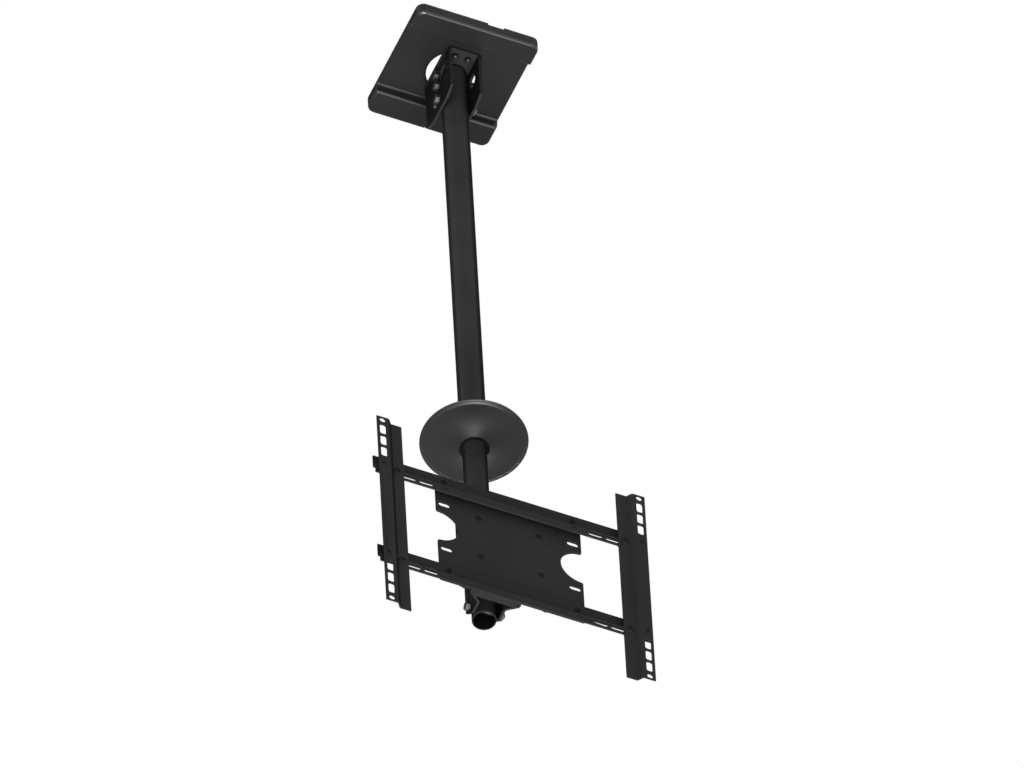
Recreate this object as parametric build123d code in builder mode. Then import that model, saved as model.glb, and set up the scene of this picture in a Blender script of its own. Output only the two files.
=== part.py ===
from build123d import *
from collections import namedtuple
import os

# Ceiling mount for a flat screen: a cover and yoke at the ceiling, a telescopic pole,
# and a tilting plate with two rails and two vertical screen arms.
# Millimetres. The origin is on the pole's axis in the ceiling plane.
# +X runs along the rails, +Y to the back, +Z up. The screen faces -Y.

Thread = namedtuple("Thread", "radius across head nut washer_radius washer_thick")
M5 = Thread(2.5, 8.0, 3.5, 4.0, 5.0, 1.0)
M6 = Thread(3.0, 10.0, 4.0, 5.0, 6.0, 1.6)
M8 = Thread(4.0, 13.0, 5.3, 6.5, 8.0, 1.6)
bolt_end = 2.0
short_end = 1.0
rod_end = 1.0
end_chamfer = 1.0
button_share = 1.1
button_taper = 30.0

# Clearances
hole_gap = 0.25
thread_gap = 0.05
running_gap = 0.05
slide_gap = 0.3
seat_gap = 0.2
ring_gap = 0.1

# How near an edge or corner lies to the place it is picked by
pick = 0.1

# Ceiling plate
plate_inset = 11.0
plate_thick = 3.5
plate_corner = 8.0
anchor_pitch_x = 120.0
anchor_pitch_y = 150.0
anchor_radius = 4.5
cable_margin = 2.0

# Ceiling cover
cover_width = 192.0
cover_depth = 202.0
cover_height = 20.0
cover_wall = 2.0
cover_corner = 12.0
cover_edge = 4.0
band_drop = 6.0
band_front = 62.0
band_back = 58.0
step_run = 2.5
step_round = 3.0
cover_hole_radius = 39.0
cover_slot_gap = 1.2
cover_notch = (26.5, 25.0, 3.5)

# Cover clips
clip_thick = 0.8
clip_bend = 1.2
clip_width = 12.0
clip_foot = 12.0
clip_place = 80.0
clip_bulge_drop = 9.0
clip_tail = (5.5, 15.0)

# Yoke that carries the pole
ear_gap = 1.0
yoke_depth = 90.0
yoke_thick = 4.0
yoke_drop = 103.0
yoke_bend = 6.0
yoke_chamfer = (20.0, 8.0)
yoke_window = (20.0, 24.0, 8.0)
yoke_window_place = (-20.0, -38.0)
yoke_screw_place = (10.0, 33.0)
yoke_bolt_drops = (26.0, 49.0, 79.0)
earth_place = (13.0, -79.0)

# Upper and lower pole
pole_wall = 1.7
pole_top = -12.0
pole_bottom = -870.0
tube_radius = 18.0
tube_wall = 2.5
tube_overlap = 180.0
tube_reach = 393.0
tube_hole_inset = 22.0
tube_hole_pitch = 50.0
tube_hole_count = 11

# Locking collar at the foot of the upper pole
collar_radius = 27.0
collar_height = 28.0
collar_rise = 4.0
lock_screw_pitch = 14.0
lock_screw_length = 16.0

# Rose over the pole joint
rose_radius = 79.0
rose_sheet = 1.5
rose_lip = 3.7
rose_lip_width = 2.6
rose_drop = 4.0
rose_rise = 16.7
rose_swell = (0.3, 0.65)
rose_lip_round = 0.8
rose_lip_foot = 2.4
rose_ring_wall = 3.0
rose_ring_lip = 2.0
rose_ring_lip_thick = 1.2

# Bracket on the lower pole
bracket_width = 78.0
bracket_thick = 4.0
bracket_front = 48.0
bracket_flange = 9.0
bracket_neck = 27.0
bracket_back = 14.0
bracket_inset = 1.0
bracket_height = 112.0
bracket_lip = 12.0
bracket_bend = 5.0
bracket_cut = 20.0

# Tilt yoke and pivot
pivot_radius = 6.0
pivot_ring = (9.5, 1.2)
pivot_reach = 32.0
pivot_rise = 62.0
tilt_yoke_inset = 4.0
tilt_yoke_thick = 4.0
tilt_yoke_height = 80.0
tilt_yoke_bend = 5.0
tilt_ear_radius = 10.0
tilt_bolt_pitch_x = 36.0
tilt_bolt_pitch_z = 40.0
spacer_wall = 3.0
spacer_reach = 24.0

# Cheeks behind the screen plate
cheek_width = 12.0
cheek_thick = 2.5
cheek_depth = 33.0
cheek_flange = 19.0
cheek_bend = 3.0
cheek_up = 60.0
cheek_down = 91.0
cheek_screw_inset = 12.0
cheek_screw_pitch = 86.0

# Screen plate
panel_gap = 19.0
panel_thick = 3.0
panel_width = 226.0
panel_up = 100.0
panel_height = 230.0
panel_corner = 3.0
bite_radius = 32.5
bite_inset = 1.0
bite_drop = 108.0
bite_round = 5.0
small_vesa = (200.0, 100.0)
small_vesa_slot = (18.0, 8.5)

# Rails
rail_thick = 2.5
rail_step = 10.0
rail_strip = 20.0
rail_lip = 24.5
rail_bend = 3.0
rail_overhang = 2.5
rail_pitch = 200.0
rail_slot = (24.0, 11.0)
rail_slot_bias = 8.0
rail_end = 25.0
rail_slot_pitch = 26.5
rail_slot_count = 3
rail_screw_x = 100.0
rail_screw_drop = 12.5

# Screen arms
arm_margin = 7.0
arm_drop = 1.7
arm_thick = 2.2
arm_flange = 17.5
arm_joggle_run = 6.0
arm_heel = 9.5
arm_step = 10.5
arm_edge = 9.0
arm_bend = 3.0
vesa_pitch = 400.0
vesa_hole_radius = 4.5
arm_slot = (20.5, 9.5)
arm_slot_drop = 21.0
arm_slot_pitch = 25.0
arm_slot_count = 3
arm_bolt_inset = 10.0
arm_nut = (14.0, 13.0, 2.0)
arm_nut_thick = 4.0
arm_nut_drop = 1.0
arm_grub_offset = 1.0

# Places worked out from the sizes above
plate_width = cover_width - 2 * plate_inset
plate_depth = cover_depth - 2 * plate_inset
yoke_top = -plate_thick
yoke_web_z = yoke_top - yoke_thick
bore_radius = tube_radius + slide_gap
pole_radius = bore_radius + pole_wall
ear_outer = pole_radius + ear_gap + yoke_thick
yoke_width = 2 * ear_outer
cable_radius = cover_hole_radius + cable_margin
cable_bridge = yoke_width + 2 * cable_margin
band_inner = band_drop - cover_wall
tube_top = pole_bottom + tube_overlap
tube_bottom = pole_bottom - tube_reach
rose_foot_z = pole_bottom - rose_drop
rose_rim_z = rose_foot_z + rose_rise
bracket_bottom = tube_bottom + bracket_inset
clamp_inner = tube_radius + seat_gap
clamp_outer = clamp_inner + bracket_thick
clamp_zs = [tube_bottom + tube_hole_inset + i * tube_hole_pitch for i in range(2)]
collar_z = pole_bottom + collar_rise
lock_zs = [collar_z + collar_height / 2 + s * lock_screw_pitch / 2 for s in (-1, 1)]
pivot_y = -bracket_front - pivot_reach
pivot_z = bracket_bottom + pivot_rise
tilt_web_front = bracket_front + tilt_yoke_thick
tilt_yoke_width = bracket_width - 2 * tilt_yoke_inset
tilt_ear_outer = tilt_yoke_width / 2
panel_front = -pivot_y + panel_gap
panel_back = panel_front - panel_thick
panel_top = pivot_z + panel_up
bite_z = panel_top - bite_drop
cheek_inner = tilt_ear_outer + spacer_reach
cheek_outer = cheek_inner + cheek_width
cheek_back = panel_front - cheek_depth
cheek_top = pivot_z + cheek_up
cheek_bottom = pivot_z - cheek_down
cheek_screw_x = cheek_inner - cheek_screw_inset
cheek_screw_zs = [bite_z + s * cheek_screw_pitch / 2 for s in (-1, 1)]
rail_front = panel_front + rail_step
rail_tops = [panel_top + rail_overhang - i * rail_pitch for i in range(2)]
strip_zs = [top - rail_lip - rail_strip / 2 for top in rail_tops]
lip_screw_zs = [top - rail_screw_drop for top in rail_tops]
arm_back = rail_front + slide_gap
arm_front = rail_front + arm_step
arm_centre = sum(strip_zs) / 2 - arm_drop
arm_length = vesa_pitch + 2 * arm_margin
arm_outer = vesa_pitch / 2 + arm_edge
arm_outer_start = vesa_pitch / 2 - arm_heel
arm_joggle = arm_outer_start - arm_joggle_run
arm_inner = arm_joggle - arm_flange
arm_bolt_x = arm_inner + arm_bolt_inset
arm_grub_x = vesa_pitch / 2 + arm_grub_offset
rail_slot_last = arm_bolt_x + rail_slot_bias
rail_length = 2 * (rail_slot_last + rail_end)
left, right = -1, 1


def bar(start, direction, radius, length, mode=Mode.ADD):
    """A round bar, or a bore with Mode.SUBTRACT, from start along direction."""
    with BuildSketch(Plane(origin=start, z_dir=direction)) as section:
        Circle(radius)
    extrude(section.sketch, amount=length, mode=mode)


def tube(start, direction, outer, inner, length):
    """A round tube or washer."""
    with BuildSketch(Plane(origin=start, z_dir=direction)) as section:
        Circle(outer)
        Circle(inner, mode=Mode.SUBTRACT)
    extrude(section.sketch, amount=length)


def hex_bolt(thread, seat, direction, length):
    """A hex bolt whose head lies behind its seat and whose shank runs along direction."""
    with BuildSketch(Plane(origin=seat, z_dir=-Vector(direction))) as section:
        RegularPolygon(thread.across / 2, 6, major_radius=False)
    extrude(section.sketch, amount=thread.head)
    bar(seat, direction, thread.radius, length)


def hex_nut(thread, seat, direction):
    """A hex nut that stands on its seat along direction."""
    with BuildSketch(Plane(origin=seat, z_dir=direction)) as section:
        RegularPolygon(thread.across / 2, 6, major_radius=False)
        Circle(thread.radius + thread_gap, mode=Mode.SUBTRACT)
    extrude(section.sketch, amount=thread.nut)


def washer(thread, seat, direction):
    """A plain washer that lies on its seat."""
    inner = thread.radius + hole_gap
    tube(seat, direction, thread.washer_radius, inner, thread.washer_thick)


def countersunk(thread, face, direction, length, gap=0.0, mode=Mode.ADD):
    """A countersunk screw, or its hole, flush with a face and running along direction."""
    head = 2 * thread.radius + gap
    with BuildSketch(Plane(origin=face, z_dir=direction)) as section:
        Circle(head)
    extrude(section.sketch, amount=thread.radius, taper=45, mode=mode)
    bar(face, direction, thread.radius + gap, length, mode=mode)


def button_screw(thread, seat, direction, length):
    """A low domed screw whose head lies behind its seat."""
    with BuildSketch(Plane(origin=seat, z_dir=-Vector(direction))) as section:
        Circle(button_share * thread.across / 2)
    extrude(section.sketch, amount=thread.radius, taper=button_taper)
    bar(seat, direction, thread.radius, length)


def folded(points, bend, thick, side):
    """A folded sheet's section: a line with round bends, made thick on one side."""
    with BuildLine() as outline:
        FilletPolyline(*points, radius=bend)
        offset(amount=thick, side=side)
    make_face(outline.edges())


def save(piece, name):
    """Label a finished piece and write its STEP file."""
    piece.part.label = name
    export_step(piece.part, f"parts/{name}.step")


os.makedirs("parts", exist_ok=True)

# Ceiling plate: flat steel with four anchor holes and two cable openings beside the yoke
with BuildPart() as ceiling_plate:
    with BuildSketch(Plane.XY.offset(-plate_thick)):
        RectangleRounded(plate_width, plate_depth, plate_corner)
        with GridLocations(anchor_pitch_x, anchor_pitch_y, 2, 2):
            Circle(anchor_radius, mode=Mode.SUBTRACT)
        with BuildSketch(mode=Mode.SUBTRACT):
            Circle(cable_radius)
            Rectangle(cable_bridge, 2 * cable_radius, mode=Mode.SUBTRACT)
    extrude(amount=plate_thick)
    for sx in (left, right):
        for sy in (left, right):
            place = (sx * yoke_screw_place[0], sy * yoke_screw_place[1], 0)
            countersunk(M6, place, (0, 0, -1), plate_thick, hole_gap, Mode.SUBTRACT)
save(ceiling_plate, "ceiling_plate")

# Yoke: a folded U whose two ears carry the pole's cross bolts
with BuildPart() as pole_yoke:
    with BuildSketch(Plane.XZ.offset(-yoke_depth / 2)):
        folded(
            [
                (-ear_outer, -yoke_drop),
                (-ear_outer, yoke_top),
                (ear_outer, yoke_top),
                (ear_outer, -yoke_drop),
            ],
            yoke_bend,
            yoke_thick,
            Side.RIGHT,
        )
    extrude(amount=yoke_depth)
    low_corners = pole_yoke.edges().filter_by(Axis.X).group_by(Axis.Z)[0]
    chamfer(low_corners, *yoke_chamfer)
    with BuildSketch(Plane.YZ.offset(-yoke_width)):
        with Locations(yoke_window_place):
            RectangleRounded(*yoke_window)
        with Locations([(0, -drop) for drop in yoke_bolt_drops]):
            Circle(M8.radius + hole_gap)
    extrude(amount=2 * yoke_width, mode=Mode.SUBTRACT)
    for sx in (left, right):
        for sy in (left, right):
            place = (sx * yoke_screw_place[0], sy * yoke_screw_place[1], 0)
            bar(place, (0, 0, -1), M6.radius + hole_gap, yoke_thick + plate_thick,
                mode=Mode.SUBTRACT)
    bar((-yoke_width, *earth_place), (1, 0, 0), M5.radius + thread_gap, yoke_width,
        mode=Mode.SUBTRACT)
save(pole_yoke, "pole_yoke")

# Four countersunk screws with nuts hold the yoke under the plate
with BuildPart() as yoke_screws:
    for sx in (left, right):
        for sy in (left, right):
            place = (sx * yoke_screw_place[0], sy * yoke_screw_place[1], 0)
            countersunk(M6, place, (0, 0, -1), -yoke_web_z + M6.nut + bolt_end)
save(yoke_screws, "yoke_screws")

with BuildPart() as yoke_nuts:
    for sx in (left, right):
        for sy in (left, right):
            place = (sx * yoke_screw_place[0], sy * yoke_screw_place[1], yoke_web_z)
            hex_nut(M6, place, (0, 0, -1))
save(yoke_nuts, "yoke_nuts")

# Room inside the cover, rounded so that the walls keep their thickness
with BuildPart() as cover_core:
    inner_depth = cover_depth / 2 - cover_wall
    inner_run = step_run + cover_wall
    with BuildSketch(Plane.YZ.offset(-cover_width / 2 + cover_wall)):
        with BuildLine():
            Polyline(
                (-inner_depth, 0),
                (-inner_depth, -cover_height + cover_wall),
                (-band_front - inner_run, -cover_height + cover_wall),
                (-band_front - cover_wall, -band_inner),
                (band_back + cover_wall, -band_inner),
                (band_back + inner_run, -cover_height + cover_wall),
                (inner_depth, -cover_height + cover_wall),
                (inner_depth, 0),
                close=True,
            )
        make_face()
    extrude(amount=cover_width - 2 * cover_wall)
    uprights = cover_core.edges().filter_by(Axis.Z)
    fillet(uprights, cover_corner - cover_wall)
    pads = cover_core.faces().filter_by(Axis.Z).group_by(Axis.Z)[0]
    fillet(pads.edges(), cover_edge - cover_wall)

# Cover: a moulded cap with a recessed middle band, so its front and back stand down as pads
with BuildPart() as ceiling_cover:
    half_depth = cover_depth / 2
    with BuildSketch(Plane.YZ.offset(-cover_width / 2)):
        with BuildLine():
            Polyline(
                (-half_depth, 0),
                (-half_depth, -cover_height),
                (-band_front - step_run, -cover_height),
                (-band_front, -band_drop),
                (band_back, -band_drop),
                (band_back + step_run, -cover_height),
                (half_depth, -cover_height),
                (half_depth, 0),
                close=True,
            )
        make_face()
    extrude(amount=cover_width)
    uprights = ceiling_cover.edges().filter_by(Axis.Z)
    fillet(uprights, cover_corner)
    pads = ceiling_cover.faces().filter_by(Axis.Z).group_by(Axis.Z)[0]
    fillet(pads.edges(), cover_edge)
    feet = ceiling_cover.edges().filter_by(Axis.X).filter_by(
        lambda e: abs(e.center().Z + band_drop) < pick
    )
    fillet(feet, step_round)
    add(cover_core.part, mode=Mode.SUBTRACT)
    with BuildSketch(Plane.XY.offset(-cover_height)):
        Circle(cover_hole_radius)
        Rectangle(yoke_width + 2 * cover_slot_gap, yoke_depth + 2 * cover_slot_gap)
    extrude(amount=cover_height, mode=Mode.SUBTRACT)
    with BuildSketch(Plane.XY.offset(-cover_notch[2])):
        with Locations((cover_notch[0], -half_depth)):
            Rectangle(cover_notch[1], 4 * cover_wall)
    extrude(amount=cover_notch[2], mode=Mode.SUBTRACT)
save(ceiling_cover, "ceiling_cover")

# Four leaf clips under the plate press on the cover's side walls
with BuildPart() as cover_clips:
    clip_edge = plate_width / 2
    bulge = cover_width / 2 - cover_wall - slide_gap
    for sx in (left, right):
        for sy in (left, right):
            base_y = sy * clip_place + clip_width / 2
            with BuildSketch(Plane.XZ.offset(-base_y)):
                folded(
                    [
                        (sx * (clip_edge - clip_foot), -plate_thick),
                        (sx * clip_edge, -plate_thick),
                        (sx * bulge, -clip_bulge_drop),
                        (sx * (bulge - clip_tail[0]), -clip_tail[1]),
                    ],
                    clip_bend,
                    clip_thick,
                    Side.RIGHT if sx == right else Side.LEFT,
                )
            extrude(amount=clip_width)
save(cover_clips, "cover_clips")

# Upper pole with its cross holes
with BuildPart() as upper_pole:
    tube((0, 0, pole_bottom), (0, 0, 1), pole_radius, bore_radius, pole_top - pole_bottom)
    for drop in yoke_bolt_drops:
        bar((-yoke_width, 0, -drop), (1, 0, 0), M8.radius + hole_gap, 2 * yoke_width,
            mode=Mode.SUBTRACT)
    for z in lock_zs:
        bar((0, 0, z), (0, 1, 0), M6.radius + hole_gap, 2 * pole_radius, mode=Mode.SUBTRACT)
save(upper_pole, "upper_pole")

with BuildPart() as pole_bolts:
    for drop in yoke_bolt_drops:
        seat = (-ear_outer - M8.washer_thick, 0, -drop)
        hex_bolt(M8, seat, (1, 0, 0), yoke_width + 2 * M8.washer_thick + M8.nut + bolt_end)
save(pole_bolts, "pole_bolts")

with BuildPart() as pole_washers:
    for drop in yoke_bolt_drops:
        washer(M8, (-ear_outer, 0, -drop), (-1, 0, 0))
        washer(M8, (ear_outer, 0, -drop), (1, 0, 0))
save(pole_washers, "pole_washers")

with BuildPart() as pole_nuts:
    for drop in yoke_bolt_drops:
        hex_nut(M8, (ear_outer + M8.washer_thick, 0, -drop), (1, 0, 0))
save(pole_nuts, "pole_nuts")

with BuildPart() as earth_screw:
    button_screw(M5, (-ear_outer, *earth_place), (1, 0, 0), yoke_thick + bolt_end)
save(earth_screw, "earth_screw")

# Locking collar pressed on the pole's foot, with two lock screws from behind
with BuildPart() as lock_collar:
    tube((0, 0, collar_z), (0, 0, 1), collar_radius, pole_radius, collar_height)
    for z in lock_zs:
        bar((0, 0, z), (0, 1, 0), M6.radius + thread_gap, 2 * collar_radius, mode=Mode.SUBTRACT)
    rims = lock_collar.edges().group_by(SortBy.LENGTH)[-1]
    chamfer(rims, end_chamfer)
save(lock_collar, "lock_collar")

with BuildPart() as lock_screws:
    for z in lock_zs:
        bar((0, tube_radius + slide_gap, z), (0, 1, 0), M6.radius, lock_screw_length)
save(lock_screws, "lock_screws")

# Lower pole with a row of height holes along its length
with BuildPart() as lower_pole:
    tube((0, 0, tube_bottom), (0, 0, 1), tube_radius, tube_radius - tube_wall,
         tube_top - tube_bottom)
    for i in range(tube_hole_count):
        z = tube_bottom + tube_hole_inset + i * tube_hole_pitch
        bar((-2 * tube_radius, 0, z), (1, 0, 0), M8.radius + hole_gap, 4 * tube_radius,
            mode=Mode.SUBTRACT)
save(lower_pole, "lower_pole")

# Rose: a shallow spun dish with an upright rim that hides the pole joint
rose_bore = tube_radius + ring_gap + rose_ring_wall
with BuildPart() as ceiling_rose:
    rim_foot = rose_rim_z - rose_lip
    rim_inner = rose_radius - rose_lip_width
    rose_span = rose_radius - rose_lip_foot - rose_bore
    swell = [
        (rose_bore + share * rose_span,
         rose_foot_z + share * (2 - share) * (rim_foot - rose_foot_z))
        for share in rose_swell
    ]
    swell_back = [(radius, z + rose_sheet) for radius, z in reversed(swell)]
    with BuildSketch(Plane.XZ):
        with BuildLine():
            Polyline(
                (rose_bore, rose_foot_z),
                *swell,
                (rose_radius - rose_lip_foot, rim_foot),
                (rose_radius, rim_foot + rose_lip_foot),
                (rose_radius, rose_rim_z - rose_lip_round),
                (rose_radius - rose_lip_round, rose_rim_z),
                (rim_inner + rose_lip_round, rose_rim_z),
                (rim_inner, rose_rim_z - rose_lip_round),
                (rim_inner, rim_foot + rose_sheet),
                *swell_back,
                (rose_bore, rose_foot_z + rose_sheet),
                close=True,
            )
        make_face()
    revolve(axis=Axis.Z)
save(ceiling_rose, "ceiling_rose")

with BuildPart() as rose_ring:
    ring_inner = tube_radius + ring_gap
    tube((0, 0, rose_foot_z), (0, 0, 1), rose_bore, ring_inner, rose_sheet)
    tube((0, 0, rose_foot_z + rose_sheet), (0, 0, 1), rose_bore, ring_inner,
         rose_ring_lip_thick)
    tube((0, 0, rose_foot_z - rose_ring_lip_thick), (0, 0, 1), rose_bore + rose_ring_lip,
         ring_inner, rose_ring_lip_thick)
save(rose_ring, "rose_ring")

# Bracket on the lower pole: a folded channel with a wide web and a narrow clamping neck
with BuildPart() as pole_bracket:
    half_web = bracket_width / 2
    flange_end = -bracket_front + bracket_flange
    outline = [
        (clamp_outer, bracket_back),
        (clamp_outer, -bracket_neck),
        (half_web, flange_end),
        (half_web, -bracket_front),
    ]
    mirrored = [(-x, y) for x, y in reversed(outline)]
    with BuildSketch(Plane.XY.offset(bracket_bottom)):
        folded(outline + mirrored, bracket_bend, bracket_thick, Side.RIGHT)
    extrude(amount=bracket_height)
    with BuildSketch(Plane.YZ.offset(-bracket_width)):
        with BuildLine():
            Polyline(
                (bracket_back - bracket_cut, bracket_bottom),
                (bracket_back, bracket_bottom + bracket_cut),
                (bracket_back, bracket_bottom),
                close=True,
            )
        make_face()
    extrude(amount=2 * bracket_width, mode=Mode.SUBTRACT)
    lip_half = half_web - bracket_bend
    with BuildSketch(Plane.YZ.offset(-lip_half)):
        with Locations((-bracket_front + bracket_lip / 2, bracket_bottom + bracket_thick / 2)):
            Rectangle(bracket_lip, bracket_thick)
    extrude(amount=2 * lip_half)
    for z in clamp_zs:
        bar((-bracket_width, 0, z), (1, 0, 0), M8.radius + hole_gap, 2 * bracket_width,
            mode=Mode.SUBTRACT)
    with BuildSketch(Plane.XZ.offset(bracket_front)):
        with Locations((0, pivot_z)):
            with GridLocations(tilt_bolt_pitch_x, tilt_bolt_pitch_z, 2, 2):
                Circle(M8.radius + hole_gap)
    extrude(amount=-bracket_thick, mode=Mode.SUBTRACT)
save(pole_bracket, "pole_bracket")

with BuildPart() as clamp_bolts:
    for z in clamp_zs:
        seat = (-clamp_outer - M8.washer_thick, 0, z)
        hex_bolt(M8, seat, (1, 0, 0), 2 * (clamp_outer + M8.washer_thick) + M8.nut + bolt_end)
save(clamp_bolts, "clamp_bolts")

with BuildPart() as clamp_washers:
    for z in clamp_zs:
        washer(M8, (-clamp_outer, 0, z), (-1, 0, 0))
        washer(M8, (clamp_outer, 0, z), (1, 0, 0))
save(clamp_washers, "clamp_washers")

with BuildPart() as clamp_nuts:
    for z in clamp_zs:
        hex_nut(M8, (clamp_outer + M8.washer_thick, 0, z), (1, 0, 0))
save(clamp_nuts, "clamp_nuts")

# Tilt yoke: a folded U bolted on the bracket's web, with the pivot through its ears
with BuildPart() as tilt_yoke:
    ear_reach = -pivot_y + tilt_ear_radius
    with BuildSketch(Plane.XY.offset(pivot_z - tilt_yoke_height / 2)):
        folded(
            [
                (-tilt_ear_outer, -ear_reach),
                (-tilt_ear_outer, -bracket_front),
                (tilt_ear_outer, -bracket_front),
                (tilt_ear_outer, -ear_reach),
            ],
            tilt_yoke_bend,
            tilt_yoke_thick,
            Side.RIGHT,
        )
    extrude(amount=tilt_yoke_height)
    with BuildSketch(Plane.YZ.offset(-tilt_yoke_width)):
        with BuildLine():
            Polyline(
                (-bracket_front, pivot_z - tilt_yoke_height / 2),
                (-tilt_web_front - tilt_yoke_bend, pivot_z - tilt_yoke_height / 2),
                (pivot_y, pivot_z - tilt_ear_radius),
                (pivot_y, pivot_z + tilt_ear_radius),
                (-tilt_web_front - tilt_yoke_bend, pivot_z + tilt_yoke_height / 2),
                (-bracket_front, pivot_z + tilt_yoke_height / 2),
                close=True,
            )
        make_face()
        with Locations((pivot_y, pivot_z)):
            Circle(tilt_ear_radius)
            Circle(pivot_radius + running_gap, mode=Mode.SUBTRACT)
    extrude(amount=2 * tilt_yoke_width, mode=Mode.INTERSECT)
    with BuildSketch(Plane.XZ.offset(bracket_front)):
        with Locations((0, pivot_z)):
            with GridLocations(tilt_bolt_pitch_x, tilt_bolt_pitch_z, 2, 2):
                Circle(M8.radius + hole_gap)
    extrude(amount=tilt_yoke_thick, mode=Mode.SUBTRACT)
save(tilt_yoke, "tilt_yoke")

tilt_bolt_places = [
    (sx * tilt_bolt_pitch_x / 2, pivot_z + sz * tilt_bolt_pitch_z / 2)
    for sx in (left, right)
    for sz in (left, right)
]
with BuildPart() as tilt_yoke_bolts:
    for x, z in tilt_bolt_places:
        length = tilt_yoke_thick + bracket_thick + M8.nut + bolt_end
        hex_bolt(M8, (x, -tilt_web_front, z), (0, 1, 0), length)
save(tilt_yoke_bolts, "tilt_yoke_bolts")

with BuildPart() as tilt_yoke_nuts:
    for x, z in tilt_bolt_places:
        hex_nut(M8, (x, -bracket_front + bracket_thick, z), (0, 1, 0))
save(tilt_yoke_nuts, "tilt_yoke_nuts")

# Pivot rod with spacers, held by a retaining ring pressed on each end
rod_half = cheek_outer + slide_gap + pivot_ring[1] + rod_end
with BuildPart() as pivot_rod:
    bar((-rod_half, pivot_y, pivot_z), (1, 0, 0), pivot_radius, 2 * rod_half)
    chamfer(pivot_rod.edges(), end_chamfer)
save(pivot_rod, "pivot_rod")

with BuildPart() as pivot_spacers:
    inner = pivot_radius + running_gap
    spacer_length = cheek_inner - slide_gap - tilt_ear_outer
    for sx in (left, right):
        tube((sx * tilt_ear_outer, pivot_y, pivot_z), (sx, 0, 0), inner + spacer_wall, inner,
             spacer_length)
save(pivot_spacers, "pivot_spacers")

with BuildPart() as pivot_rings:
    for sx in (left, right):
        tube((sx * (cheek_outer + slide_gap), pivot_y, pivot_z), (sx, 0, 0), pivot_ring[0],
             pivot_radius, pivot_ring[1])
save(pivot_rings, "pivot_rings")


def cheek(side):
    """A folded cheek: a screw flange on the plate's back and a narrow channel round the rod."""
    with BuildSketch(Plane.XY.offset(cheek_bottom)) as section:
        folded(
            [
                (side * (cheek_inner - cheek_flange), -panel_back),
                (side * (cheek_inner + cheek_thick), -panel_back),
                (side * (cheek_inner + cheek_thick), -cheek_back - cheek_thick),
                (side * (cheek_outer - cheek_thick), -cheek_back - cheek_thick),
                (side * (cheek_outer - cheek_thick), -panel_back + cheek_thick),
            ],
            cheek_bend,
            cheek_thick,
            Side.LEFT if side == right else Side.RIGHT,
        )
    extrude(section.sketch, amount=cheek_top - cheek_bottom)
    bar((side * cheek_inner - cheek_width, pivot_y, pivot_z), (1, 0, 0),
        pivot_radius + running_gap, 3 * cheek_width, mode=Mode.SUBTRACT)
    for z in cheek_screw_zs:
        bar((side * cheek_screw_x, -panel_front, z), (0, 1, 0), M6.radius + hole_gap,
            panel_front - cheek_back, mode=Mode.SUBTRACT)


with BuildPart() as left_cheek:
    cheek(left)
save(left_cheek, "left_cheek")

with BuildPart() as right_cheek:
    cheek(right)
save(right_cheek, "right_cheek")

cheek_screw_places = [(s * cheek_screw_x, z) for s in (left, right) for z in cheek_screw_zs]
with BuildPart() as cheek_screws:
    for x, z in cheek_screw_places:
        length = panel_thick + cheek_thick + M6.nut + bolt_end
        countersunk(M6, (x, -panel_front, z), (0, 1, 0), length)
save(cheek_screws, "cheek_screws")

with BuildPart() as cheek_nuts:
    for x, z in cheek_screw_places:
        hex_nut(M6, (x, -panel_back + cheek_thick, z), (0, 1, 0))
save(cheek_nuts, "cheek_nuts")

# Screen plate with side bites and the small screw pattern's slots
with BuildPart() as interface_plate:
    panel_middle = panel_top - panel_height / 2
    with BuildSketch(Plane.XZ.offset(panel_front)) as panel_outline:
        with Locations((0, panel_middle)):
            Rectangle(panel_width, panel_height)
        with Locations([(s * (panel_width / 2 - bite_inset), bite_z) for s in (left, right)]):
            Circle(bite_radius, mode=Mode.SUBTRACT)
        side_corners = panel_outline.vertices().filter_by(
            lambda v: abs(v.Z - bite_z) < bite_radius + pick
        )
        fillet(side_corners, bite_round)
        end_corners = panel_outline.vertices().filter_by(
            lambda v: abs(v.Z - panel_middle) > panel_height / 2 - pick
        )
        fillet(end_corners, panel_corner)
        with Locations((0, bite_z)):
            with GridLocations(*small_vesa, 2, 2):
                SlotOverall(*small_vesa_slot, mode=Mode.SUBTRACT)
    extrude(amount=-panel_thick)
    for x, z in cheek_screw_places:
        countersunk(M6, (x, -panel_front, z), (0, 1, 0), panel_thick, hole_gap, Mode.SUBTRACT)
    for s in (left, right):
        for z in lip_screw_zs:
            bar((s * rail_screw_x, -panel_front, z), (0, 1, 0), M5.radius + hole_gap,
                panel_thick, mode=Mode.SUBTRACT)
save(interface_plate, "interface_plate")


def rail(top, strip_z, lip_screw_z):
    """A folded rail: a lip on the plate, a step forward and a slotted strip."""
    lip_foot = top - rail_lip
    with BuildSketch(Plane.YZ.offset(-rail_length / 2)) as section:
        folded(
            [
                (-panel_front, top),
                (-panel_front, lip_foot - rail_thick),
                (-rail_front + rail_thick, lip_foot - rail_thick),
                (-rail_front + rail_thick, lip_foot - rail_strip),
            ],
            rail_bend,
            rail_thick,
            Side.RIGHT,
        )
    extrude(section.sketch, amount=rail_length)
    with BuildSketch(Plane.XZ.offset(rail_front)) as holes:
        for s in (left, right):
            for i in range(rail_slot_count):
                with Locations((s * (rail_slot_last - i * rail_slot_pitch), strip_z)):
                    SlotOverall(*rail_slot)
        with Locations([(s * rail_screw_x, strip_z) for s in (left, right)]):
            Circle(M5.radius + hole_gap)
    extrude(holes.sketch, amount=-rail_thick, mode=Mode.SUBTRACT)
    for s in (left, right):
        bar((s * rail_screw_x, -rail_front, lip_screw_z), (0, 1, 0), M5.radius + hole_gap,
            rail_front - panel_back, mode=Mode.SUBTRACT)


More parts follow.
